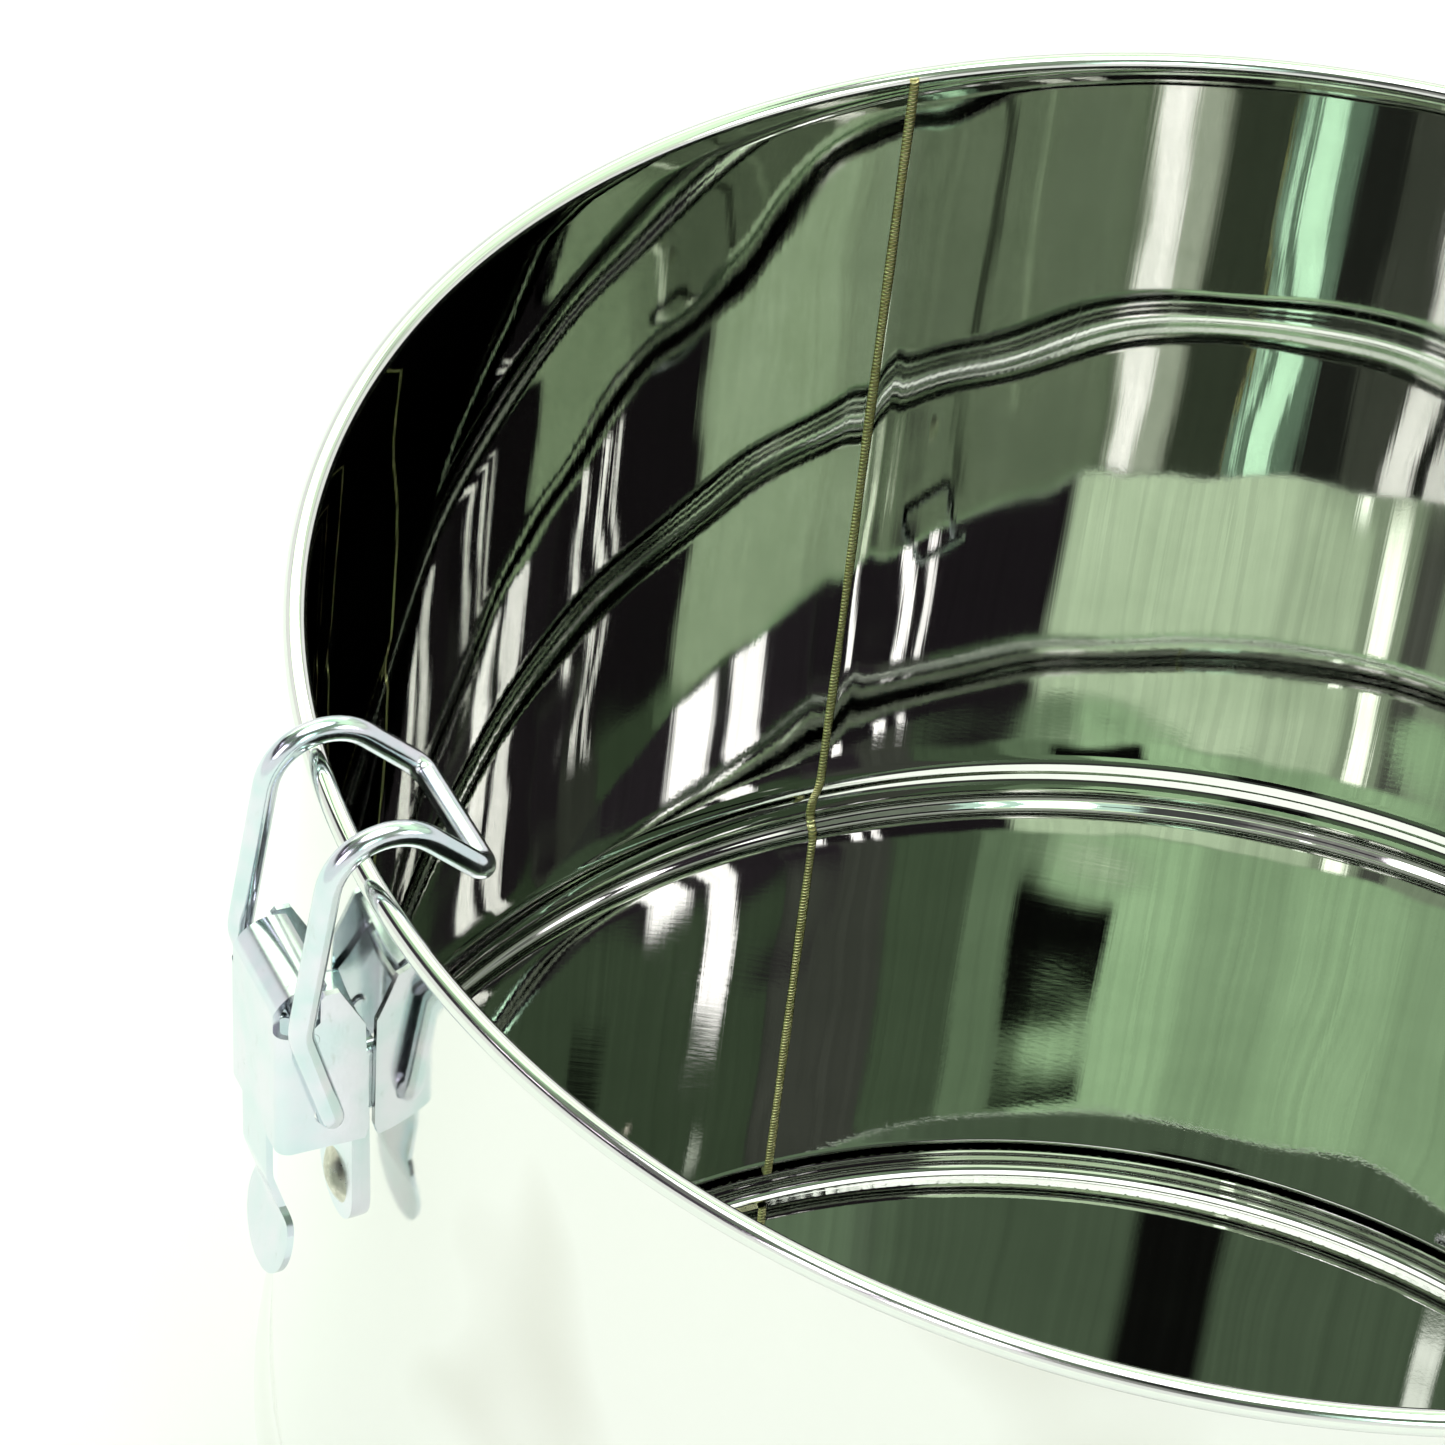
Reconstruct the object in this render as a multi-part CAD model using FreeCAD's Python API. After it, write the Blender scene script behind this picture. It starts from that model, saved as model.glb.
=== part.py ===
import FreeCAD, Part
import math
import os

# Open stainless steel drum with two over-centre wire latches on its rim.
# Millimetres, +Z up, origin at the centre of the flat bottom.
# The latches sit on the X axis and the wall's weld seam is on the +Y side.

# Drum
SHEET = 0.7                  # wall and bottom sheet
RIM_RADIUS = 160.0           # centre line of the rolled rim
ROLL_RADIUS = 1.9            # outside of the rolled rim
INNER_DEPTH = 287.3          # inside bottom to the centre of the rolled rim
CURL_END_DEG = -125.0        # where the roll's free edge stops, under the rim
CORNER_RADIUS = 3.0          # inside corner between wall and bottom
BOTTOM_FLANGE_TOP = 6.0      # height of the joint between bottom and wall

RIM_Z = SHEET + INNER_DEPTH
WALL_IN = RIM_RADIUS - ROLL_RADIUS
WALL_OUT = WALL_IN + SHEET

# Stiffening ring rolled outward in the wall, steeper below its crest than above
RING_CREST_Z = RIM_Z - 178.5
RING_DEPTH = 2.5
RING_BELOW = 6.0
RING_ABOVE = 12.0

# Welds
SEAM_AZIMUTH = 89.2          # degrees from +X
SEAM_WIDTH = 1.4
SEAM_HEIGHT = 0.35
SEAM_OVER_RIM_DEG = 135.0    # the bead runs over the roll to this angle
BOTTOM_BEAD_WIDTH = 2.4
BOTTOM_BEAD_HEIGHT = 0.4

# Latches: U is measured outward from the rim's centre line, W up from it
LATCHES = {"latch_a": 180.0, "latch_b": 0.0}
RIVET_WS = (-44.0, -68.2)
RIVET_SHANK_RADIUS = 2.4
RIVET_HEAD_RADIUS = 4.7
RIVET_HEAD_HEIGHT = 1.6
RIVET_TAIL_RADIUS = 3.6
RIVET_TAIL_HEIGHT = 0.9
LEAN_DEG = 6.4               # each latch leans sideways round its lower rivet
LEAN_CENTRE_W = RIVET_WS[1]

HINGE_U = 8.3
HINGE_W = -30.5
HINGE_PIN_RADIUS = 1.25
RUNNING_FIT = 0.05
TOOL_OVERRUN = 5.0           # cutting shapes run this far past what they cut
JOIN_OVERLAP = 0.5           # fused shapes start this far inside each other

LEVER_SHEET = 1.1
LEVER_HALF_WIDTH = 11.6
LEVER_BEND_RADIUS = 2.2
LEVER_FRONT_U = 13.6         # outer face of the front plate
LEVER_FOOT_W = -51.9
CURL_U = 7.2                 # centre of the lever's rounded top
CURL_W = -29.2
CURL_RADIUS = 7.1
CURL_HALF_WIDTH = 9.2
CURL_END_ANGLE = 108.0
# Flange seen from the side, from the front plate over the lug to the foot: (U, W)
FLANGE_OUTLINE = (
    (LEVER_FRONT_U, -29.3),
    (10.8, -29.3),
    (8.0, -28.4),
    (6.9, -27.4),
    (6.8, -23.2),
    (6.1, -22.4),
    (3.8, -22.4),
    (-0.3, -29.6),
    (-0.9, -49.8),
    (-0.3, LEVER_FOOT_W),
    (LEVER_FRONT_U, LEVER_FOOT_W),
)
TONGUE_HALF_WIDTH = 5.5
TONGUE_TIP_RADIUS = 8.6
# Middle of the tongue's sheet seen from the side: (U, W)
TONGUE_PATH = (
    (LEVER_FRONT_U - LEVER_SHEET / 2, LEVER_FOOT_W + JOIN_OVERLAP),
    (13.0, -61.0),
    (10.3, -69.6),
    (12.6, -82.6),
)
TONGUE_BEND = 6.0

PLATE_HALF_WIDTH = 10.4
PLATE_STEM_HALF_WIDTH = 7.3
PLATE_FACE_U = 0.3
PLATE_TOP_W = -35.0
PLATE_SHOULDER_W = -48.5
PLATE_CORNER = 2.0
PLATE_BACK_STOCK = 1.0       # cut away again to the curve of the wall
EAR_THICKNESS = 1.0
EAR_RADIUS = 2.3
EAR_ROOT_TOP_W = -36.0
EAR_ROOT_FOOT_W = -43.0

BAIL_WIRE_RADIUS = 2.0
BAIL_HALF_WIDTH = 13.9
BAIL_PIVOT_U = 5.6
BAIL_PIVOT_W = -45.1
BAIL_EYE_RADIUS = 2.3        # hole in the lever, loose on the wire
BAIL_END_Y = 9.7             # the wire's ends stop just inside the lever
# Leg outline from the pivot up and over the rim: (U, W, bend radius)
BAIL_LEG = (
    (10.95, -26.9, 7.0),
    (3.7, 16.3, 9.7),
    (-18.6, -3.8, 3.0),
)
BAIL_FOOT_BEND = 2.3


def vec(x, y, z):
    return FreeCAD.Vector(x, y, z)


def line(p, q):
    return Part.LineSegment(p, q).toShape()


def arc_xz(cx, cz, radius, start_deg, end_deg, y=0.0):
    """Arc in a plane of constant Y, angles from +X towards +Z."""
    points = []
    for share in (0.0, 0.5, 1.0):
        angle = math.radians(start_deg + share * (end_deg - start_deg))
        points.append(vec(cx + radius * math.cos(angle), y, cz + radius * math.sin(angle)))
    return Part.Arc(*points).toShape()


def ends(edge):
    return edge.valueAt(edge.FirstParameter), edge.valueAt(edge.LastParameter)


def closed_face(edges):
    """Face from edges in running order, with straight lines over the gaps."""
    chain = []
    for index, edge in enumerate(edges):
        chain.append(edge)
        here = ends(edge)[1]
        there = ends(edges[(index + 1) % len(edges)])[0]
        if here.distanceToPoint(there) > 1e-6:
            chain.append(line(here, there))
    return Part.Face(Part.Wire(chain))


def polygon_face(points):
    return Part.Face(Part.makePolygon(points + [points[0]]))


def reversed_arcs(specs):
    """The same (cx, cz, radius, start, end) arcs, run backwards."""
    return [(cx, cz, radius, end, start) for cx, cz, radius, start, end in reversed(specs)]


def arcs(specs):
    return [arc_xz(*spec) for spec in specs]


def spin(face, sweep=360.0):
    return face.revolve(vec(0, 0, 0), vec(0, 0, 1), sweep)


# ---------------------------------------------------------------- drum wall

def ring_arcs(offset):
    """Arcs of the stiffening ring going up, OFFSET outward of the inner face."""
    lower_angle = 2 * math.degrees(math.atan2(RING_DEPTH, RING_BELOW))
    upper_angle = 2 * math.degrees(math.atan2(RING_DEPTH, RING_ABOVE))
    lower = RING_BELOW / math.sin(math.radians(lower_angle)) / 2
    upper = RING_ABOVE / math.sin(math.radians(upper_angle)) / 2
    crest = WALL_IN + RING_DEPTH
    foot_z = RING_CREST_Z - RING_BELOW
    top_z = RING_CREST_Z + RING_ABOVE
    return [
        (WALL_IN + lower, foot_z, lower - offset, 180, 180 - lower_angle),
        (crest - lower, RING_CREST_Z, lower + offset, -lower_angle, 0),
        (crest - upper, RING_CREST_Z, upper + offset, 0, upper_angle),
        (WALL_IN + upper, top_z, upper - offset, 180 + upper_angle, 180),
    ]


def wall_point(offset, z):
    return vec(WALL_IN + offset, 0, z)


def make_shell():
    inner = [line(wall_point(0, BOTTOM_FLANGE_TOP), ends(arc_xz(*ring_arcs(0)[0]))[0])]
    inner += arcs(ring_arcs(0))
    roll_outside = arc_xz(RIM_RADIUS, RIM_Z, ROLL_RADIUS, 180, CURL_END_DEG)
    roll_inside = arc_xz(RIM_RADIUS, RIM_Z, ROLL_RADIUS - SHEET, CURL_END_DEG, 180)
    outer = arcs(reversed_arcs(ring_arcs(SHEET)))
    outer.append(line(ends(outer[-1])[1], wall_point(SHEET, BOTTOM_FLANGE_TOP)))
    shell = spin(closed_face(inner + [roll_outside, roll_inside] + outer))
    for azimuth in LATCHES.values():
        for height in RIVET_WS:
            shell = shell.cut(turned(leaned(rivet_hole(height)), azimuth))
    return shell


def make_rim_wire():
    return Part.makeTorus(RIM_RADIUS, ROLL_RADIUS - SHEET, vec(0, 0, RIM_Z), vec(0, 0, 1))


def make_bottom():
    inside = arc_xz(WALL_IN - CORNER_RADIUS, SHEET + CORNER_RADIUS, CORNER_RADIUS, 0, -90)
    outside = arc_xz(WALL_IN - CORNER_RADIUS, SHEET + CORNER_RADIUS,
                     CORNER_RADIUS + SHEET, -90, 0)
    axis = line(vec(0, 0, SHEET), vec(0, 0, 0))
    flange_end = line(wall_point(SHEET, BOTTOM_FLANGE_TOP), wall_point(0, BOTTOM_FLANGE_TOP))
    return spin(closed_face([axis, outside, flange_end, inside]))


def make_bottom_weld():
    half = BOTTOM_BEAD_WIDTH / 2
    low = vec(WALL_OUT, 0, BOTTOM_FLANGE_TOP - half)
    proud = vec(WALL_OUT + BOTTOM_BEAD_HEIGHT, 0, BOTTOM_FLANGE_TOP)
    high = vec(WALL_OUT, 0, BOTTOM_FLANGE_TOP + half)
    return spin(closed_face([Part.Arc(low, proud, high).toShape()]))


def make_seam_weld():
    """Raised bead on the inside of the wall, over the ring and onto the rim."""
    surface = arcs(ring_arcs(0))
    surface.append(arc_xz(RIM_RADIUS, RIM_Z, ROLL_RADIUS, 180, SEAM_OVER_RIM_DEG))
    crown = [arc_xz(RIM_RADIUS, RIM_Z, ROLL_RADIUS + SEAM_HEIGHT, SEAM_OVER_RIM_DEG, 180)]
    crown += arcs(reversed_arcs(ring_arcs(-SEAM_HEIGHT)))
    foot = line(wall_point(-SEAM_HEIGHT, BOTTOM_FLANGE_TOP), wall_point(0, BOTTOM_FLANGE_TOP))
    sweep = math.degrees(SEAM_WIDTH / WALL_IN)
    bead = spin(closed_face(surface + crown + [foot]), sweep)
    return turned(bead, SEAM_AZIMUTH - sweep / 2)


# ------------------------------------------------------------------ latches

def turned(shape, azimuth):
    copy = shape.copy()
    copy.rotate(vec(0, 0, 0), vec(0, 0, 1), azimuth)
    return copy


def at(u, w, y=0.0):
    return vec(RIM_RADIUS + u, y, RIM_Z + w)


def leaned(shape):
    copy = shape.copy()
    copy.rotate(at(0, LEAN_CENTRE_W), vec(1, 0, 0), LEAN_DEG)
    return copy


def rivet_hole(height):
    start = vec(WALL_IN - TOOL_OVERRUN, 0, RIM_Z + height)
    return Part.makeCylinder(RIVET_SHANK_RADIUS, SHEET + 2 * TOOL_OVERRUN, start, vec(1, 0, 0))


def cross_rod(radius, u, w, half_length):
    return Part.makeCylinder(radius, 2 * half_length, at(u, w, -half_length), vec(0, 1, 0))


def side_prism(face, y_from, y_to):
    """Extrude a face in the latch's side view (the XZ plane) across its width."""
    placed = face.copy()
    placed.translate(vec(0, y_from, 0))
    return placed.extrude(vec(0, y_to - y_from, 0))


def front_prism(half_width, w_foot, w_top, u_from, u_to, foot_radius, top_radius):
    """Plate outline seen from the front, with rounded corners, extruded along U."""
    block = Part.makeBox(u_to - u_from, 2 * half_width, w_top - w_foot,
                         at(u_from, w_foot, -half_width))
    for radius, level in ((foot_radius, w_foot), (top_radius, w_top)):
        corners = [edge for edge in block.Edges
                   if abs(edge.CenterOfMass.z - RIM_Z - level) < 1e-6
                   and abs(abs(edge.CenterOfMass.y) - half_width) < 1e-6]
        if radius > 0:
            block = block.makeFillet(radius, corners)
    return block


def tangent_point(px, pz, cx, cz, radius, side):
    """Where the line from (px, pz) touches a circle; SIDE is +1 or -1."""
    away = math.atan2(pz - cz, px - cx)
    spread = math.acos(radius / math.hypot(px - cx, pz - cz))
    angle = away + side * spread
    return cx + radius * math.cos(angle), cz + radius * math.sin(angle)


def rounded_path(corners, radii):
    """Straight runs joined by tangent arcs; one radius per inner corner."""
    edges = []
    start = corners[0]
    for index, radius in enumerate(radii, start=1):
        here = corners[index]
        back = (corners[index - 1] - here).normalize()
        ahead = (corners[index + 1] - here).normalize()
        half_angle = back.getAngle(ahead) / 2
        reach = radius / math.tan(half_angle)
        enter = here + back * reach
        leave = here + ahead * reach
        bisector = (back + ahead).normalize()
        middle = here + bisector * (radius / math.sin(half_angle) - radius)
        edges.append(line(start, enter))
        edges.append(Part.Arc(enter, middle, leave).toShape())
        start = leave
    edges.append(line(start, corners[-1]))
    return Part.Wire(edges)


def make_base_plate():
    """Plate with a round-ended stem and two ears; its back is still to be fitted."""
    back_u = WALL_IN - RIM_RADIUS - PLATE_BACK_STOCK
    plate = front_prism(PLATE_HALF_WIDTH, PLATE_SHOULDER_W, PLATE_TOP_W,
                        back_u, PLATE_FACE_U, PLATE_CORNER, PLATE_CORNER)
    stem_top_w = PLATE_SHOULDER_W + 2 * PLATE_CORNER
    plate = plate.fuse(front_prism(PLATE_STEM_HALF_WIDTH, RIVET_WS[1], stem_top_w,
                                   back_u, PLATE_FACE_U, 0, 0))
    end = Part.makeCylinder(PLATE_STEM_HALF_WIDTH, PLATE_FACE_U - back_u,
                            at(back_u, RIVET_WS[1]), vec(1, 0, 0))
    plate = plate.fuse(end)
    root_u = PLATE_FACE_U - JOIN_OVERLAP
    upper = tangent_point(root_u, EAR_ROOT_TOP_W, HINGE_U, HINGE_W, EAR_RADIUS, -1)
    lower = tangent_point(root_u, EAR_ROOT_FOOT_W, HINGE_U, HINGE_W, EAR_RADIUS, 1)
    web = polygon_face([at(root_u, EAR_ROOT_TOP_W), at(*upper), at(HINGE_U, HINGE_W),
                        at(*lower), at(root_u, EAR_ROOT_FOOT_W)])
    for side in (-1, 1):
        outer = side * PLATE_HALF_WIDTH
        inner = side * (PLATE_HALF_WIDTH - EAR_THICKNESS)
        plate = plate.fuse(side_prism(web, inner, outer))
        eye = Part.makeCylinder(EAR_RADIUS, EAR_THICKNESS,
                                at(HINGE_U, HINGE_W, min(inner, outer)), vec(0, 1, 0))
        plate = plate.fuse(eye)
    plate = plate.cut(cross_rod(HINGE_PIN_RADIUS, HINGE_U, HINGE_W, LEVER_HALF_WIDTH))
    for height in RIVET_WS:
        plate = plate.cut(rivet_hole(height))
    return plate.removeSplitter()


def cap_arc(base_x, height, radius, outward):
    """Rounded cap of a rivet: a head's from axis to edge, a tail's from edge to axis."""
    ball = (radius ** 2 + height ** 2) / (2 * height)
    spread = math.degrees(math.asin(radius / ball))
    centre_x = base_x + outward * (height - ball)
    if outward > 0:
        return arc_xz(centre_x, 0, ball, 0, spread)
    return arc_xz(centre_x, 0, ball, 180 - spread, 180)


def make_rivets():
    head_x = RIM_RADIUS + PLATE_FACE_U
    rivets = []
    for height in RIVET_WS:
        sideways = (height - LEAN_CENTRE_W) * math.sin(math.radians(LEAN_DEG))
        reach = sideways + RIVET_TAIL_RADIUS
        tail_x = math.sqrt(WALL_IN ** 2 - reach ** 2)
        tail = cap_arc(tail_x, RIVET_TAIL_HEIGHT, RIVET_TAIL_RADIUS, -1)
        head = cap_arc(head_x, RIVET_HEAD_HEIGHT, RIVET_HEAD_RADIUS, 1)
        under_head = line(vec(head_x, 0, RIVET_HEAD_RADIUS), vec(head_x, 0, RIVET_SHANK_RADIUS))
        under_tail = line(vec(tail_x, 0, RIVET_SHANK_RADIUS), vec(tail_x, 0, RIVET_TAIL_RADIUS))
        outline = closed_face([head, under_head, under_tail, tail])
        rivet = outline.revolve(vec(0, 0, 0), vec(1, 0, 0), 360)
        rivet.translate(vec(0, 0, RIM_Z + height))
        rivets.append(rivet)
    return Part.makeCompound(rivets)


def make_hinge_pin():
    return cross_rod(HINGE_PIN_RADIUS, HINGE_U, HINGE_W, LEVER_HALF_WIDTH)


def curl_arc(start_deg, end_deg, inset=0.0):
    return arc_xz(RIM_RADIUS + CURL_U, RIM_Z + CURL_W, CURL_RADIUS - inset, start_deg, end_deg)


def curl_angle(u, inset=0.0):
    """Angle at which the rounded top reaches a given U on its front side."""
    return math.degrees(math.acos((u - CURL_U) / (CURL_RADIUS - inset)))


def make_lever_channel():
    """Front plate with a flange folded back on each side."""
    outline = polygon_face([at(u, w) for u, w in FLANGE_OUTLINE])
    channel = side_prism(outline, -LEVER_HALF_WIDTH, LEVER_HALF_WIDTH)
    front_x = RIM_RADIUS + LEVER_FRONT_U
    folds = [edge for edge in channel.Edges
             if abs(abs(edge.CenterOfMass.y) - LEVER_HALF_WIDTH) < 1e-6
             and abs(edge.CenterOfMass.x - front_x) < 1e-6]
    channel = channel.makeFillet(LEVER_BEND_RADIUS, folds)
    inner_half = LEVER_HALF_WIDTH - LEVER_SHEET
    inner_x = front_x - LEVER_SHEET
    deep = 2 * LEVER_FRONT_U
    tall = -LEVER_FOOT_W
    cavity = Part.makeBox(deep, 2 * inner_half, tall + TOOL_OVERRUN,
                          vec(inner_x - deep, -inner_half, RIM_Z + LEVER_FOOT_W - TOOL_OVERRUN))
    inner_folds = [edge for edge in cavity.Edges
                   if abs(abs(edge.CenterOfMass.y) - inner_half) < 1e-6
                   and abs(edge.CenterOfMass.x - inner_x) < 1e-6]
    cavity = cavity.makeFillet(LEVER_BEND_RADIUS - LEVER_SHEET, inner_folds)
    return channel.cut(cavity)


def make_lever_curl():
    """Rounded top of the front plate, turned back towards the drum."""
    front = LEVER_FRONT_U
    back = LEVER_FRONT_U - LEVER_SHEET
    outside = curl_arc(curl_angle(front), CURL_END_ANGLE)
    inside = curl_arc(CURL_END_ANGLE, curl_angle(back, LEVER_SHEET), LEVER_SHEET)
    root_w = FLANGE_OUTLINE[0][1] - LEVER_BEND_RADIUS
    section = closed_face([outside, inside, line(at(back, root_w), at(front, root_w))])
    return side_prism(section, -CURL_HALF_WIDTH, CURL_HALF_WIDTH)


def make_tongue():
    """Finger tongue: dips towards the drum, then flares out to a round tip."""
    path = rounded_path([at(u, w) for u, w in TONGUE_PATH], [TONGUE_BEND, TONGUE_BEND])
    corner = at(*TONGUE_PATH[0], -TONGUE_TIP_RADIUS) - vec(LEVER_SHEET / 2, 0, 0)
    section = polygon_face([
        corner,
        corner + vec(LEVER_SHEET, 0, 0),
        corner + vec(LEVER_SHEET, 2 * TONGUE_TIP_RADIUS, 0),
        corner + vec(0, 2 * TONGUE_TIP_RADIUS, 0),
    ]).OuterWire
    band = path.makePipeShell([section], True, True)
    tip_w = TONGUE_PATH[-1][1]
    disc_w = tip_w + TONGUE_TIP_RADIUS
    deep = LEVER_FRONT_U + TOOL_OVERRUN
    neck = front_prism(TONGUE_HALF_WIDTH, disc_w, LEVER_FOOT_W + TOOL_OVERRUN, 0, deep, 0, 0)
    disc = Part.makeCylinder(TONGUE_TIP_RADIUS, deep, at(0, disc_w), vec(1, 0, 0))
    return band.common(neck.fuse(disc).removeSplitter())


def make_lever():
    lever = make_lever_channel().fuse([make_lever_curl(), make_tongue()])
    past_flanges = LEVER_HALF_WIDTH + TOOL_OVERRUN
    pin_hole_radius = HINGE_PIN_RADIUS + RUNNING_FIT
    lever = lever.cut(cross_rod(pin_hole_radius, HINGE_U, HINGE_W, past_flanges))
    lever = lever.cut(cross_rod(BAIL_EYE_RADIUS, BAIL_PIVOT_U, BAIL_PIVOT_W, past_flanges))
    return lever.removeSplitter()


def make_bail():
    """Wire loop: both ends hooked into the lever, the crossbar inside the drum."""
    leg = [at(BAIL_PIVOT_U, BAIL_PIVOT_W, BAIL_END_Y),
           at(BAIL_PIVOT_U, BAIL_PIVOT_W, BAIL_HALF_WIDTH)]
    leg += [at(u, w, BAIL_HALF_WIDTH) for u, w, radius in BAIL_LEG]
    mirrored = [vec(p.x, -p.y, p.z) for p in reversed(leg)]
    bends = [BAIL_FOOT_BEND] + [radius for u, w, radius in BAIL_LEG]
    path = rounded_path(leg + mirrored, bends + bends[::-1])
    section = Part.Wire(Part.makeCircle(BAIL_WIRE_RADIUS, leg[0], vec(0, 1, 0)))
    wire = path.makePipeShell([section], True, True)
    expected = math.pi * BAIL_WIRE_RADIUS ** 2 * path.Length
    print("bail volume against section times length: %.4f" % (wire.Volume / expected))
    return wire


MAKERS = {
    "base_plate": make_base_plate,
    "rivets": make_rivets,
    "hinge_pin": make_hinge_pin,
    "lever": make_lever,
    "bail": make_bail,
}


def main():
    os.makedirs("parts", exist_ok=True)
    nodes = {
        "shell": make_shell(),
        "rim_wire": make_rim_wire(),
        "bottom": make_bottom(),
        "bottom_weld": make_bottom_weld(),
        "seam_weld": make_seam_weld(),
    }
    for piece, maker in MAKERS.items():
        shape = leaned(maker())
        if piece == "base_plate":
            shape = shape.cut(Part.makeCylinder(WALL_OUT, RIM_Z))
        for latch, azimuth in LATCHES.items():
            nodes[latch + "_" + piece] = turned(shape, azimuth)
    for name, shape in nodes.items():
        print("%-22s solids %d  valid %s  volume %.1f"
              % (name, len(shape.Solids), shape.isValid(), shape.Volume))
        shape.exportStep("parts/" + name + ".step")


main()
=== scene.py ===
import math

import bmesh
import bpy
from mathutils import Matrix, Vector, noise


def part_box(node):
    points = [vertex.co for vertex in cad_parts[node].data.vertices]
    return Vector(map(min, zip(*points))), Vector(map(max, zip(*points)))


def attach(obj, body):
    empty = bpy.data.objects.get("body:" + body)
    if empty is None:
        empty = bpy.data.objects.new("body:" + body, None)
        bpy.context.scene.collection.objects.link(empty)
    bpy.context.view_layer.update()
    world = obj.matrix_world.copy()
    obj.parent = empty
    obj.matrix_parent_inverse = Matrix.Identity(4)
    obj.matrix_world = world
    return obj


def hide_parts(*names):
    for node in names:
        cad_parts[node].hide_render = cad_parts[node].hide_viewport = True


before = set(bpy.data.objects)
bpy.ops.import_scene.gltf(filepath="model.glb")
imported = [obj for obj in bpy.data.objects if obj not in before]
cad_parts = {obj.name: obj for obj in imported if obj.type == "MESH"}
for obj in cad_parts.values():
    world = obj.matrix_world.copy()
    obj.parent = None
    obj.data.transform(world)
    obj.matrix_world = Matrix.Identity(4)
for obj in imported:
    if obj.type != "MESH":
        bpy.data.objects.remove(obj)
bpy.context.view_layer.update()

# ------------------------------------------------------------ places from the frame

MM = 0.001
SHEET = 0.7 * MM
ROLL = 1.9 * MM
WALL_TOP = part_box("shell")[1].z - ROLL          # centre of the rolled rim
BOTTOM_INSIDE = SHEET
RIM_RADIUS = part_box("rim_wire")[1].y - (ROLL - SHEET)
WALL_IN = RIM_RADIUS - ROLL
JOINT_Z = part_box("bottom")[1].z                 # joint between bottom and wall
CORNER = 3.0 * MM

RING_DEPTH = 2.5 * MM
RING_BELOW = 6.0 * MM
RING_ABOVE = 12.0 * MM
RING_CREST = WALL_TOP - 178.5 * MM

SEAM_AZIMUTH = math.radians(89.2)
SEAM_WIDTH = 2.1 * MM
SEAM_HEIGHT = 0.35 * MM
SEAM_SINK = 0.02 * MM            # the bead's edges start this far inside the sheet
SCALE_PITCH = 0.85 * MM          # one weld ripple
BOTTOM_BEAD = 2.4 * MM           # width of the bead round the bottom

# How far the wall's skin wanders: broad swells, small ones, and a line beside the seam
WALL_STEP = 4.5 * MM
WALL_SEGMENTS = 460
BOTTOM_SEGMENTS = 360
BROAD_SWELL, BROAD_SIZE = 0.34 * MM, 58 * MM
LOCAL_SWELL, LOCAL_SIZE = 0.075 * MM, 27 * MM
HEAT_DRAW, HEAT_WIDTH, HEAT_BESIDE = 0.07 * MM, 1.9 * MM, 1.6 * MM

# Latches: U outward from the rim's centre line, W up from it, as in the CAD
LATCHES = {"latch_a": math.pi, "latch_b": 0.0}
LEAN = math.radians(6.4)
LEAN_CENTRE_W = -68.2 * MM
WIRE = 2.0 * MM * 0.9995         # just inside the CAD wire
WIRE_SIDES = 40
WIRE_STEP = 1.5 * MM
BEND_STEP = 0.12                 # radians
BAIL_HALF_WIDTH = 13.9 * MM
BAIL_END = 9.7 * MM
# (U, W, bend radius) in mm, from the pivot over the rim to the crossbar
BAIL_CORNERS = ((5.6, -45.1, 2.3), (10.95, -26.9, 7.0), (3.7, 16.3, 9.7), (-18.6, -3.8, 3.0))


# ----------------------------------------------------------------------- mesh helpers

def add_mesh(name, vertices, faces, materials, face_slots=None):
    """New smooth-shaded object; FACE_SLOTS gives each face's material number."""
    mesh = bpy.data.meshes.new(name)
    mesh.from_pydata(vertices, [], faces)
    for material in materials:
        mesh.materials.append(material)
    if face_slots is not None:
        mesh.polygons.foreach_set("material_index", face_slots)
    mesh.polygons.foreach_set("use_smooth", [True] * len(mesh.polygons))
    mesh.update()
    piece = bpy.data.objects.new(name, mesh)
    bpy.context.scene.collection.objects.link(piece)
    return piece


def arc(centre_r, centre_z, radius, start_deg, end_deg, step_deg):
    """Points (r, z) of an arc, both ends included."""
    count = max(2, int(abs(end_deg - start_deg) / step_deg))
    points = []
    for index in range(count + 1):
        angle = math.radians(start_deg + (end_deg - start_deg) * index / count)
        points.append((centre_r + radius * math.cos(angle), centre_z + radius * math.sin(angle)))
    return points


def straight(r, z_from, z_to, step):
    """Evenly spaced points up or down a straight wall, without its last end."""
    count = max(1, round(abs(z_to - z_from) / step))
    return [(r, z_from + (z_to - z_from) * index / count) for index in range(count)]


def ring_profile(offset):
    """The raised ring going up, OFFSET outward of the wall's inner face."""
    below = 2 * math.atan2(RING_DEPTH, RING_BELOW)
    above = 2 * math.atan2(RING_DEPTH, RING_ABOVE)
    low = RING_BELOW / math.sin(below) / 2
    high = RING_ABOVE / math.sin(above) / 2
    below, above = math.degrees(below), math.degrees(above)
    crest = WALL_IN + RING_DEPTH
    points = arc(WALL_IN + low, RING_CREST - RING_BELOW, low - offset, 180, 180 - below, 5)
    points += arc(crest - low, RING_CREST, low + offset, -below, 0, 5)[1:]
    points += arc(crest - high, RING_CREST, high + offset, 0, above, 3)[1:]
    points += arc(WALL_IN + high, RING_CREST + RING_ABOVE, high - offset,
                  180 + above, 180, 3)[1:]
    return points


def wall_profile(offset, step):
    """One face of the wall from the bottom joint to the rolled rim's centre height."""
    r = WALL_IN + offset
    points = straight(r, JOINT_Z, RING_CREST - RING_BELOW, step)
    points += ring_profile(offset)
    points += straight(r, RING_CREST + RING_ABOVE, WALL_TOP, step)[1:]
    return points


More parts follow.
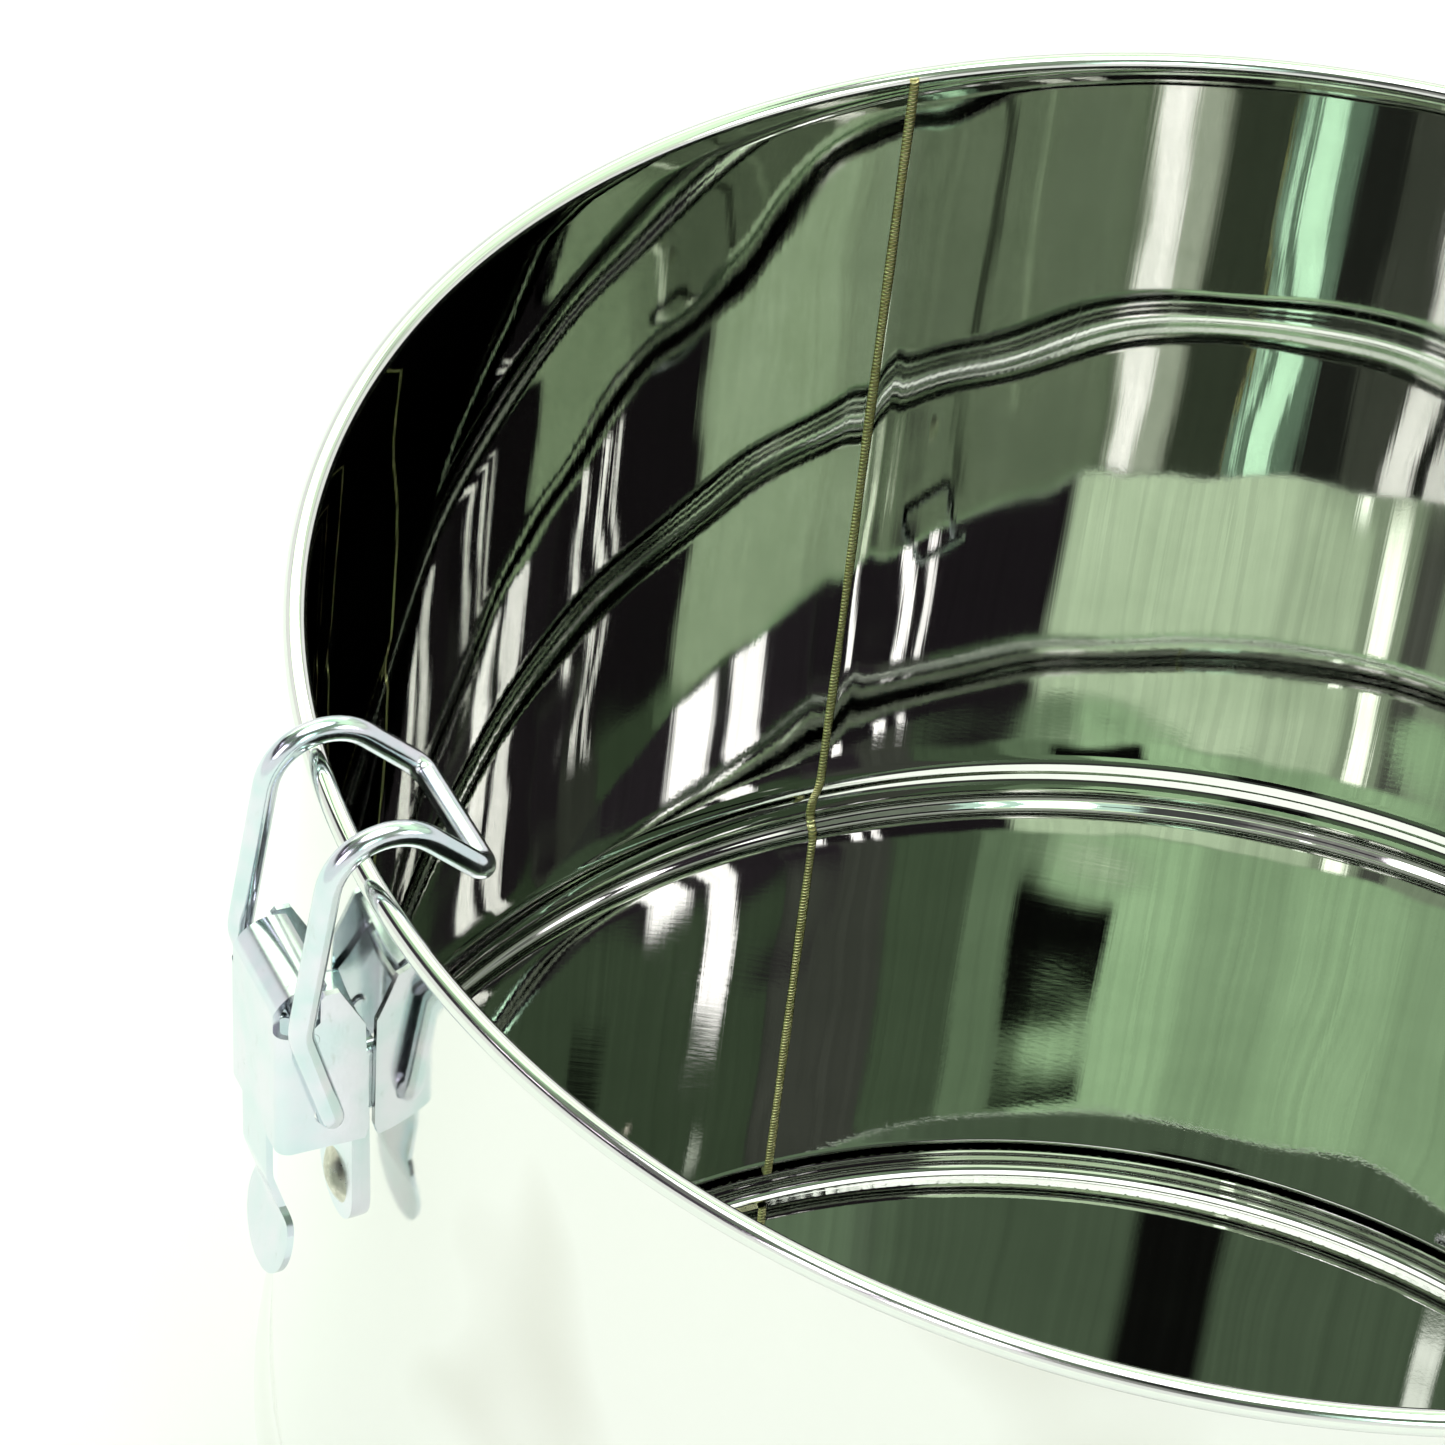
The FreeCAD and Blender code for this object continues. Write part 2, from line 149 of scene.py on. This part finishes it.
def unevenness(angle, z):
    """How far the sheet's skin wanders in and out, zero at the ring, rim and bottom."""
    fade = 1.0
    for level, reach in ((WALL_TOP, 22 * MM), (JOINT_Z, 25 * MM), (RING_CREST, 34 * MM)):
        fade *= min(1.0, max(0.0, abs(z - level) - 0.25 * reach) / reach)
    fade = fade * fade * (3 - 2 * fade)
    x, y = math.cos(angle) * WALL_IN, math.sin(angle) * WALL_IN
    broad = BROAD_SWELL * noise.noise(Vector((x, y, z * 0.55)) / BROAD_SIZE)
    local = LOCAL_SWELL * noise.noise(Vector((x + 1, y, z * 0.8)) / LOCAL_SIZE)
    beside_seam = (angle - SEAM_AZIMUTH) * WALL_IN + HEAT_BESIDE
    heat_draw = HEAT_DRAW * math.exp(-(beside_seam / HEAT_WIDTH) ** 2)
    return fade * (broad + local + heat_draw)


def lathe(name, profile, slots, materials, segments, uneven, closed):
    """Turn a profile of (r, z) round Z; SLOTS gives each profile step's material."""
    vertices = []
    count = len(profile)
    for turn in range(segments):
        angle = 2 * math.pi * turn / segments
        cosine, sine = math.cos(angle), math.sin(angle)
        for r, z in profile:
            here = r + (unevenness(angle, z) if uneven else 0.0)
            vertices.append((here * cosine, here * sine, z))
    faces = []
    face_slots = []
    steps = count if closed else count - 1
    for turn in range(segments):
        near = turn * count
        far = (turn + 1) % segments * count
        for step in range(steps):
            ahead = (step + 1) % count
            faces.append((near + step, near + ahead, far + ahead, far + step))
            face_slots.append(slots[step])
    return add_mesh(name, vertices, faces, materials, face_slots)


# ------------------------------------------------------------------------- materials

class Shader:
    """Small helper that wires nodes of one material."""

    def __init__(self, name, metallic=1.0):
        self.material = bpy.data.materials.new(name)
        self.material.use_nodes = True
        self.tree = self.material.node_tree
        self.surface = self.tree.nodes["Principled BSDF"]
        self.surface.inputs["Metallic"].default_value = metallic
        self.place = self.tree.nodes.new("ShaderNodeTexCoord").outputs["Object"]

    def link(self, source, target):
        self.tree.links.new(source, target)

    def stretched(self, scale):
        mapping = self.tree.nodes.new("ShaderNodeMapping")
        mapping.inputs["Scale"].default_value = scale
        self.link(self.place, mapping.inputs["Vector"])
        return mapping.outputs["Vector"]

    def noise(self, scale, detail=3.0, roughness=0.55, stretch=(1, 1, 1), distortion=0.0):
        node = self.tree.nodes.new("ShaderNodeTexNoise")
        node.inputs["Scale"].default_value = scale
        node.inputs["Detail"].default_value = detail
        node.inputs["Roughness"].default_value = roughness
        node.inputs["Distortion"].default_value = distortion
        self.link(self.stretched(stretch), node.inputs["Vector"])
        return node.outputs["Fac"]

    def ripple(self, pitch):
        """Upright row of bands, one every PITCH."""
        node = self.tree.nodes.new("ShaderNodeTexWave")
        node.bands_direction = "Z"
        node.inputs["Scale"].default_value = math.pi / (10 * pitch)
        node.inputs["Distortion"].default_value = 0.6
        self.link(self.place, node.inputs["Vector"])
        return node.outputs["Fac"]

    def span(self, value, low, high, to_low, to_high):
        node = self.tree.nodes.new("ShaderNodeMapRange")
        for socket, number in (("From Min", low), ("From Max", high),
                               ("To Min", to_low), ("To Max", to_high)):
            node.inputs[socket].default_value = number
        self.link(value, node.inputs["Value"])
        return node.outputs["Result"]

    def math(self, operation, first, second):
        node = self.tree.nodes.new("ShaderNodeMath")
        node.operation = operation
        for index, value in enumerate((first, second)):
            if isinstance(value, (int, float)):
                node.inputs[index].default_value = value
            else:
                self.link(value, node.inputs[index])
        return node.outputs["Value"]

    def mix(self, factor, first, second):
        node = self.tree.nodes.new("ShaderNodeMix")
        node.data_type = "RGBA"
        self.link(factor, node.inputs["Factor"])
        for socket, value in (("A", first), ("B", second)):
            target = [s for s in node.inputs if s.name == socket and s.type == "RGBA"][0]
            if isinstance(value, tuple):
                target.default_value = (*value, 1.0)
            else:
                self.link(value, target)
        return [s for s in node.outputs if s.type == "RGBA"][0]

    def bump(self, height, distance, strength):
        node = self.tree.nodes.new("ShaderNodeBump")
        node.inputs["Distance"].default_value = distance
        node.inputs["Strength"].default_value = strength
        self.link(height, node.inputs["Height"])
        self.link(node.outputs["Normal"], self.surface.inputs["Normal"])

    def colour(self, value):
        self.link(value, self.surface.inputs["Base Color"])

    def roughness(self, value):
        self.link(value, self.surface.inputs["Roughness"])


def mirror_steel():
    """Inside of the drum: bright rolled sheet with faint upright roll lines and wipe marks."""
    shader = Shader("mirror_steel")
    lines = shader.noise(1.0, 2.0, 0.6, (900, 900, 9))
    cloud = shader.noise(26, 4.0, 0.6)
    smear = shader.span(cloud, 0.42, 0.72, 0.0, 1.0)
    shader.colour(shader.mix(smear, (0.59, 0.61, 0.57), (0.54, 0.565, 0.52)))
    rough = shader.span(smear, 0.0, 1.0, 0.012, 0.035)
    shader.roughness(shader.math("ADD", rough, shader.span(lines, 0.55, 0.8, 0.0, 0.02)))
    shader.bump(lines, 0.004 * MM, 0.6)
    return shader.material


def brushed_steel():
    """Outside of the drum: softly brushed sheet with a few dull smudges."""
    shader = Shader("brushed_steel")
    grain = shader.noise(1.0, 3.0, 0.6, (60, 60, 2600))
    smudge = shader.span(shader.noise(15, 2.0, 0.5, (1, 1, 0.8), 0.3), 0.60, 0.76, 0.0, 1.0)
    shader.colour(shader.mix(smudge, (0.79, 0.79, 0.765), (0.64, 0.63, 0.585)))
    rough = shader.span(grain, 0.3, 0.7, 0.04, 0.09)
    shader.roughness(shader.math("ADD", rough, shader.math("MULTIPLY", smudge, 0.10)))
    shader.bump(grain, 0.006 * MM, 0.5)
    return shader.material


def rim_steel():
    """Rolled rim: polished, with the fine lines that the rolling tool leaves along it."""
    shader = Shader("rim_steel")
    lines = shader.noise(1.0, 3.0, 0.7, (14, 14, 5200))
    shader.colour(shader.mix(lines, (0.80, 0.82, 0.78), (0.68, 0.71, 0.67)))
    shader.roughness(shader.span(lines, 0.3, 0.75, 0.05, 0.16))
    shader.bump(lines, 0.012 * MM, 0.6)
    return shader.material


def weld_bead(name, light, dark, pitch):
    """Fused filler, mottled by heat and banded by the torch's steps."""
    shader = Shader(name)
    mottle = shader.noise(420, 3.0, 0.6)
    bands = shader.span(shader.ripple(pitch), 0.0, 1.0, -0.22, 0.22)
    tint = shader.math("SUBTRACT", mottle, bands)
    shader.colour(shader.mix(shader.span(tint, 0.35, 0.65, 0.0, 1.0), light, dark))
    shader.roughness(shader.span(tint, 0.3, 0.7, 0.22, 0.42))
    shader.bump(shader.noise(2600, 2.0), 0.02 * MM, 0.6)
    return shader.material


def zinc_plate(name, sheen_scale):
    """Bright zinc plate: cool, slightly iridescent, with handling scuffs."""
    shader = Shader(name)
    tone = shader.span(shader.noise(sheen_scale, 2.0), 0.35, 0.65, 0.0, 1.0)
    cool = shader.mix(tone, (0.60, 0.71, 0.73), (0.74, 0.74, 0.80))
    scuff = shader.span(shader.noise(700, 3.0, 0.65, (1, 1, 0.4)), 0.62, 0.80, 0.0, 1.0)
    shader.colour(shader.mix(scuff, cool, (0.56, 0.61, 0.61)))
    shader.roughness(shader.math("ADD", shader.span(tone, 0.0, 1.0, 0.13, 0.20),
                                 shader.math("MULTIPLY", scuff, 0.14)))
    shader.bump(shader.noise(1500, 3.0, 0.6), 0.02 * MM, 0.45)
    return shader.material


def rivet_metal():
    """Dull nickel-plated rivet."""
    shader = Shader("rivet_metal")
    tone = shader.noise(700, 4.0, 0.65)
    shader.colour(shader.mix(shader.span(tone, 0.35, 0.7, 0.0, 1.0), (0.66, 0.65, 0.54),
                             (0.47, 0.47, 0.37)))
    shader.roughness(shader.span(tone, 0.3, 0.7, 0.24, 0.40))
    shader.bump(tone, 0.03 * MM, 0.6)
    return shader.material


# ---------------------------------------------------------------------------- pieces

def make_wall(inside, outside, rim):
    """Wall, raised ring and rolled rim as one turned sheet."""
    inner = wall_profile(0.0, WALL_STEP)
    roll_out = arc(RIM_RADIUS, WALL_TOP, ROLL, 180, -125, 9)
    roll_in = arc(RIM_RADIUS, WALL_TOP, ROLL - SHEET, -125, 180, 20)
    outer = list(reversed(wall_profile(SHEET, 2 * WALL_STEP)))
    profile = inner + roll_out + roll_in + outer
    slots = [0] * len(inner) + [2] * (len(roll_out) + len(roll_in) - 1) + [1] * (len(outer) + 1)
    wall = lathe("drum_wall", profile, slots, [inside, outside, rim], WALL_SEGMENTS, True, True)
    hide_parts("shell")
    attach(wall, "drum")
    return wall


def make_bottom(inside, outside):
    """Pressed bottom with a small round corner up to the wall."""
    corner_r = WALL_IN - CORNER
    corner_z = BOTTOM_INSIDE + CORNER
    top = [(corner_r * step / 30, BOTTOM_INSIDE) for step in range(1, 30)]
    top += arc(corner_r, corner_z, CORNER, -90, 0, 4)
    top.append((WALL_IN, JOINT_Z))
    under = [(WALL_IN + SHEET, JOINT_Z)]
    under += arc(corner_r, corner_z, CORNER + SHEET, 0, -90, 4)
    under += [(corner_r * step / 30, 0.0) for step in range(29, 0, -1)]
    profile = top + under
    slots = [0] * (len(top) - 1) + [1] * (len(under) + 1)
    segments = BOTTOM_SEGMENTS
    pan = lathe("drum_bottom", profile, slots, [inside, outside], segments, False, False)
    count = len(profile)
    shape = bmesh.new()
    shape.from_mesh(pan.data)
    shape.verts.ensure_lookup_table()
    ring_of = {}
    for step in (0, count - 1):
        ring_of[step] = [shape.verts[turn * count + step] for turn in range(segments)]
    for step, z, slot in ((0, BOTTOM_INSIDE, 0), (count - 1, 0.0, 1)):
        middle = shape.verts.new((0, 0, z))
        ring = ring_of[step]
        for here, there in zip(ring, ring[1:] + ring[:1]):
            face = shape.faces.new((middle, here, there))
            face.material_index = slot
            face.smooth = True
    bmesh.ops.recalc_face_normals(shape, faces=shape.faces)
    shape.to_mesh(pan.data)
    shape.free()
    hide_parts("bottom")
    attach(pan, "drum")
    return pan


def make_seam(material):
    """Raised bead of overlapping scales up the inside of the wall and onto the rim."""
    path = wall_profile(0.0, WALL_STEP) + arc(RIM_RADIUS, WALL_TOP, ROLL, 180, 137, 6)
    fine = []
    for (r0, z0), (r1, z1) in zip(path, path[1:]):
        length = math.hypot(r1 - r0, z1 - z0)
        count = max(1, round(length / (SCALE_PITCH / 7)))
        for index in range(count):
            share = index / count
            fine.append((r0 + (r1 - r0) * share, z0 + (z1 - z0) * share))
    fine.append(path[-1])
    across = 10
    vertices = []
    travelled = 0.0
    before = fine[0]
    for index, (r, z) in enumerate(fine):
        travelled += math.hypot(r - before[0], z - before[1])
        before = (r, z)
        ahead = fine[min(index + 1, len(fine) - 1)]
        behind = fine[max(index - 1, 0)]
        along = Vector((ahead[0] - behind[0], 0, ahead[1] - behind[1])).normalized()
        inward = Vector((-along.z, 0, along.x))
        width = SEAM_WIDTH * (0.93 + 0.07 * math.sin(travelled / (5.3 * MM)))
        for column in range(across + 1):
            side = 2 * column / across - 1
            phase = (travelled - 0.45 * SCALE_PITCH * side * side) / SCALE_PITCH % 1.0
            swell = max(0.0, 1 - side * side) ** 0.5
            height = SEAM_HEIGHT * swell * (0.48 + 0.50 * math.sin(math.pi * phase) ** 0.7)
            angle = SEAM_AZIMUTH + side * width / 2 / WALL_IN
            base = Vector((r, 0, z)) + inward * (height - SEAM_SINK)
            if index in (0, len(fine) - 1):
                base = Vector((r, 0, z)) + inward * SEAM_SINK
            spin = Matrix.Rotation(angle, 3, "Z")
            vertices.append(spin @ base)
    row = across + 1
    faces = []
    for index in range(len(fine) - 1):
        for column in range(across):
            start = index * row + column
            faces.append((start, start + row, start + row + 1, start + 1))
    seam = add_mesh("seam_bead", vertices, faces, [material])
    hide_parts("seam_weld")
    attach(seam, "drum")
    return seam


def rounded_path(corners, radii):
    """Points along straight runs joined by tangent arcs, one radius per inner corner."""
    points = [corners[0]]
    for index, radius in enumerate(radii, start=1):
        here = corners[index]
        back = (corners[index - 1] - here).normalized()
        ahead = (corners[index + 1] - here).normalized()
        half_angle = back.angle(ahead) / 2
        middle = (back + ahead).normalized()
        centre = here + middle * (radius / math.sin(half_angle))
        start = here + back * (radius / math.tan(half_angle)) - centre
        axis = back.cross(ahead).normalized()
        sweep = math.pi - 2 * half_angle
        count = max(3, int(sweep / BEND_STEP))
        for step in range(count + 1):
            turn = Matrix.Rotation(-sweep * step / count, 3, axis)
            points.append(centre + turn @ start)
    points.append(corners[-1])
    return points


def make_bail(latch, azimuth, material):
    """Bent wire loop, hooked into the lever and lying over the rim."""
    def at(u, w, side):
        return Vector((RIM_RADIUS + u * MM, side, WALL_TOP + w * MM))
    pivot_u, pivot_w, foot_bend = BAIL_CORNERS[0]
    leg = [at(pivot_u, pivot_w, BAIL_END)]
    leg += [at(u, w, BAIL_HALF_WIDTH) for u, w, bend in BAIL_CORNERS]
    bends = [bend * MM for u, w, bend in BAIL_CORNERS]
    mirrored = [Vector((p.x, -p.y, p.z)) for p in reversed(leg)]
    path = rounded_path(leg + mirrored, bends + bends[::-1])
    fine = []
    for here, there in zip(path, path[1:]):
        count = max(1, round((there - here).length / WIRE_STEP))
        fine += [here.lerp(there, step / count) for step in range(count)]
    fine.append(path[-1])
    pivot = Vector((0, 0, WALL_TOP + LEAN_CENTRE_W))
    place = Matrix.Rotation(azimuth, 4, "Z") @ Matrix.Translation(pivot)
    place = place @ Matrix.Rotation(LEAN, 4, "X") @ Matrix.Translation(-pivot)
    around = WIRE_SIDES
    vertices = []
    across = Vector((0, 0, 1))
    for index, point in enumerate(fine):
        along = (fine[min(index + 1, len(fine) - 1)] - fine[max(index - 1, 0)]).normalized()
        across = (across - along * across.dot(along)).normalized()
        third = along.cross(across)
        for step in range(around):
            angle = 2 * math.pi * step / around
            offset = (across * math.cos(angle) + third * math.sin(angle)) * WIRE
            vertices.append(place @ (point + offset))
    faces = []
    for index in range(len(fine) - 1):
        for step in range(around):
            near = index * around
            ahead = (step + 1) % around
            faces.append((near + step, near + ahead, near + around + ahead, near + around + step))
    last = (len(fine) - 1) * around
    faces.append(tuple(reversed(range(around))))
    faces.append(tuple(range(last, last + around)))
    bail = add_mesh(latch + "_wire", vertices, faces, [material])
    bail.data.polygons[-1].use_smooth = False
    bail.data.polygons[-2].use_smooth = False
    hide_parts(latch + "_bail")
    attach(bail, latch + "_bail")


def bevel(piece, width):
    """Round a CAD piece's sharp edges slightly."""
    modifier = piece.modifiers.new("edge rounding", "BEVEL")
    modifier.width = width
    modifier.segments = 2
    modifier.limit_method = "ANGLE"
    modifier.angle_limit = math.radians(38)
    modifier.harden_normals = True


def finish_cad(node, material):
    """Give a CAD node its material."""
    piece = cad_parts[node]
    piece.data.materials.clear()
    piece.data.materials.append(material)
    return piece


# ---------------------------------------------------------------- stage and the light

def make_floor():
    """Plain pale floor, wide enough to fill every view."""
    size = 6.0
    mesh = bpy.data.meshes.new("floor")
    mesh.from_pydata([(-size, -size, 0), (size, -size, 0), (size, size, 0), (-size, size, 0)],
                     [], [(0, 1, 2, 3)])
    floor = bpy.data.objects.new("floor", mesh)
    bpy.context.scene.collection.objects.link(floor)
    shader = Shader("floor_white", 0.0)
    paper = shader.noise(3, 2.0)
    shader.colour(shader.mix(paper, (0.94, 0.945, 0.93), (0.91, 0.915, 0.90)))
    shader.surface.inputs["Roughness"].default_value = 0.9
    mesh.materials.append(shader.material)


def make_lamp():
    """Large soft light overhead that whitens the floor."""
    data = bpy.data.lights.new("overhead", "SUN")
    data.energy = 1.55
    data.angle = math.radians(50)
    lamp = bpy.data.objects.new("overhead", data)
    lamp.location = (0, 0, 2)
    bpy.context.scene.collection.objects.link(lamp)


# What stands round the drum, as the polished inside shows it. Each panel is
# (azimuth from, to, elevation from, to, edge softness, brightness, tint), in degrees.
WHITE = (1.0, 1.0, 0.98)
LAVENDER = (0.97, 0.86, 1.0)
SAGE = (0.86, 1.0, 0.78)
GREEN = (0.72, 1.0, 0.66)
MINT = (0.72, 1.0, 0.86)
VIOLET = (0.95, 0.72, 1.0)
GREY = (1.0, 1.0, 0.95)
ROOM = (
    # far side, seen in the upper half of the wall on the right
    (-150, -122, 24, 42, 2.5, 0.35, GREY),
    (-108, -84, 24, 42, 1.5, 1.2, MINT),
    (-102, -93, 24, 42, 0.8, 6.5, MINT),
    (-90, -88, 24, 42, 0.6, 5.0, MINT),
    (-84, -62, 24, 42, 2.0, 0.28, SAGE),
    (-62, -36, 24, 42, 3.0, 2.6, GREY),
    (-52, -40, 24, 42, 2.5, 8.0, LAVENDER),
    (-36, 44, 24, 42, 3.0, 1.05, SAGE),
    (-2, 0, 24, 38, 0.7, 1.7, SAGE),
    (13, 16, 24, 38, 1.0, 0.25, SAGE),
    (44, 64, 24, 42, 5.0, 1.7, SAGE),
    (46, 49, 24, 38, 0.6, 6.0, WHITE),
    # green-white wall, seen low in the upper half
    (62, 120, 24, 41.6, 5.0, 2.4, SAGE),
    (36, 41, 38, 41.6, 1.0, 6.0, GREY),
    (26, 33, 38, 41.6, 1.5, 0.3, GREY),
    (44, 62, 38, 41.6, 1.5, 2.1, SAGE),
    # shelves and windows, seen in the shaded left side
    (120, 180, 24, 41.6, 2.0, 0.05, VIOLET),
    (-180, -166, 24, 43.5, 1.0, 0.07, VIOLET),
    (157, 160, 38, 42.5, 0.5, 7.0, LAVENDER),
    (167, 170, 38, 42.5, 0.6, 7.0, LAVENDER),
    (152, 154, 38, 42.5, 0.4, 5.0, LAVENDER),
    # higher part of the room, seen below the ring and in the bottom
    (-30, 124, 41.6, 60, 3.0, 1.45, GREEN),
    (16, 46, 41.6, 60, 4.0, 1.75, GREEN),
    (70, 108, 41.6, 60, 3.0, 1.95, GREEN),
    (108, 130, 41.6, 60, 3.0, 0.7, GREEN),
    (128, 150, 41.6, 60, 2.0, 0.32, GREEN),
    (150, 180, 41.6, 60, 2.0, 0.2, GREY),
    (-180, -80, 43.5, 60, 2.0, 0.23, GREEN),
    (-80, -30, 41.6, 60, 6.0, 0.4, GREEN),
    (-180, -120, 41.6, 43.5, 1.5, 0.08, VIOLET),
    (164, 180, 41.6, 43.5, 1.5, 0.09, VIOLET),
    (-166, -157, 24, 44.5, 1.0, 6.0, LAVENDER),
    (-152, -141, 24, 43.5, 1.5, 7.0, LAVENDER),
    (90, 114, 42.3, 44.7, 1.5, 0.01, GREY),
    (-131, -118, 45.5, 60, 1.5, 0.01, GREY),
    (-165, -161, 46.5, 48.0, 0.6, 2.0, WHITE),
)
HAZE = 1.00                  # all round, near the horizon
HAZE_TOP = 22.0


def make_world():
    """The room as layered panels, with fine upright streaks and a pale horizon."""
    world = bpy.data.worlds.new("studio")
    bpy.context.scene.world = world
    world.use_nodes = True
    tree = world.node_tree

    def sum_of(operation, first, second):
        node = tree.nodes.new("ShaderNodeMath")
        node.operation = operation
        tree.links.new(first, node.inputs[0])
        tree.links.new(second, node.inputs[1])
        return node.outputs["Value"]

    def step(value, low, high, soft):
        """One between LOW and HIGH, zero outside, with soft edges."""
        edges = []
        for level in (low, high):
            node = tree.nodes.new("ShaderNodeMapRange")
            node.interpolation_type = "SMOOTHSTEP"
            node.inputs["From Min"].default_value = math.radians(level - soft)
            node.inputs["From Max"].default_value = math.radians(level + soft)
            tree.links.new(value, node.inputs["Value"])
            edges.append(node.outputs["Result"])
        return sum_of("SUBTRACT", *edges)

    def layered(factor, below, colour):
        node = tree.nodes.new("ShaderNodeMix")
        node.data_type = "RGBA"
        tree.links.new(factor, node.inputs["Factor"])
        first, second = [item for item in node.inputs if item.type == "RGBA"]
        tree.links.new(below, first)
        second.default_value = (*colour, 1.0)
        return [item for item in node.outputs if item.type == "RGBA"][0]

    split = tree.nodes.new("ShaderNodeSeparateXYZ")
    place = tree.nodes.new("ShaderNodeTexCoord")
    tree.links.new(place.outputs["Generated"], split.inputs["Vector"])
    azimuth = sum_of("ARCTAN2", split.outputs["Y"], split.outputs["X"])
    rise = tree.nodes.new("ShaderNodeMath")
    rise.operation = "ARCSINE"
    tree.links.new(split.outputs["Z"], rise.inputs[0])
    elevation = rise.outputs["Value"]
    ceiling = tree.nodes.new("ShaderNodeRGB")
    ceiling.outputs["Color"].default_value = (0.10, 0.10, 0.10, 1.0)
    colour = ceiling.outputs["Color"]
    stripes = tree.nodes.new("ShaderNodeTexNoise")
    stripes.noise_dimensions = "1D"
    stripes.inputs["Scale"].default_value = 26.0
    stripes.inputs["Detail"].default_value = 5.0
    stripes.inputs["Roughness"].default_value = 0.7
    tree.links.new(azimuth, stripes.inputs["W"])
    streaks = tree.nodes.new("ShaderNodeMapRange")
    streaks.inputs["From Min"].default_value = 0.3
    streaks.inputs["From Max"].default_value = 0.75
    streaks.inputs["To Min"].default_value = 0.86
    streaks.inputs["To Max"].default_value = 1.16
    tree.links.new(stripes.outputs["Fac"], streaks.inputs["Value"])
    for az_from, az_to, el_from, el_to, soft, strength, tint in ROOM:
        across = step(azimuth, az_from, az_to, soft)
        upward = step(elevation, el_from, el_to, min(soft, 0.5))
        shade = tuple(strength * channel for channel in tint)
        colour = layered(sum_of("MULTIPLY", across, upward), colour, shade)
    shaded = tree.nodes.new("ShaderNodeVectorMath")
    shaded.operation = "SCALE"
    tree.links.new(colour, shaded.inputs[0])
    tree.links.new(streaks.outputs["Result"], shaded.inputs["Scale"])
    colour = shaded.outputs["Vector"]
    low = step(elevation, -100, HAZE_TOP, 3.0)
    colour = layered(low, colour, (HAZE, HAZE, 0.98 * HAZE))
    tree.links.new(colour, tree.nodes["Background"].inputs["Color"])


def make_camera():
    """Camera above the rim on the latch side, turned off the drum's centre."""
    distance = 0.8341
    elevation = 0.6917
    heading = math.radians(-35.28)
    pan, tilt, roll = -0.1063, 0.0372, 0.2071
    focal_in_frames = 3.6352
    back = Vector((0, -math.cos(elevation), math.sin(elevation)))
    right = Vector((1, 0, 0))
    down = (-back).cross(right)
    base = Matrix((right, down, -back))
    panned = Matrix(((math.cos(pan), 0, -math.sin(pan)), (0, 1, 0),
                     (math.sin(pan), 0, math.cos(pan)))) @ base
    tilted = Matrix(((1, 0, 0), (0, math.cos(tilt), -math.sin(tilt)),
                     (0, math.sin(tilt), math.cos(tilt)))) @ panned
    rolled = Matrix(((math.cos(roll), -math.sin(roll), 0),
                     (math.sin(roll), math.cos(roll), 0), (0, 0, 1))) @ tilted
    turn = Matrix.Rotation(heading, 3, "Z")
    axes = Matrix((turn @ rolled[0], turn @ -rolled[1], turn @ -rolled[2])).transposed()
    data = bpy.data.cameras.new("camera")
    data.sensor_width = 36.0
    data.lens = focal_in_frames * data.sensor_width
    data.clip_start = 0.01
    camera = bpy.data.objects.new("camera", data)
    place = turn @ (back * distance) + Vector((0, 0, WALL_TOP))
    camera.matrix_world = Matrix.Translation(place) @ axes.to_4x4()
    bpy.context.scene.collection.objects.link(camera)
    bpy.context.scene.camera = camera


make_camera()

INSIDE = mirror_steel()
OUTSIDE = brushed_steel()
RIM = rim_steel()
SEAM_WELD = weld_bead("straw_weld", (0.90, 0.87, 0.46), (0.42, 0.39, 0.15),
                      SCALE_PITCH)
BOTTOM_WELD = weld_bead("grey_weld", (0.62, 0.62, 0.58), (0.50, 0.50, 0.45),
                        BOTTOM_BEAD)
ZINC_SHEET = zinc_plate("zinc_sheet", 90)
ZINC_WIRE = zinc_plate("zinc_wire", 160)
RIVET = rivet_metal()

make_wall(INSIDE, OUTSIDE, RIM)
make_bottom(INSIDE, OUTSIDE)
make_seam(SEAM_WELD)
finish_cad("rim_wire", RIM)
finish_cad("bottom_weld", BOTTOM_WELD)
for latch, azimuth in LATCHES.items():
    make_bail(latch, azimuth, ZINC_WIRE)
    for part, material in (("base_plate", ZINC_SHEET), ("lever", ZINC_SHEET),
                           ("hinge_pin", ZINC_WIRE), ("rivets", RIVET)):
        bevel(finish_cad(latch + "_" + part, material), 0.15 * MM)

make_floor()
make_lamp()
make_world()
bpy.context.scene.view_settings.view_transform = "Standard"
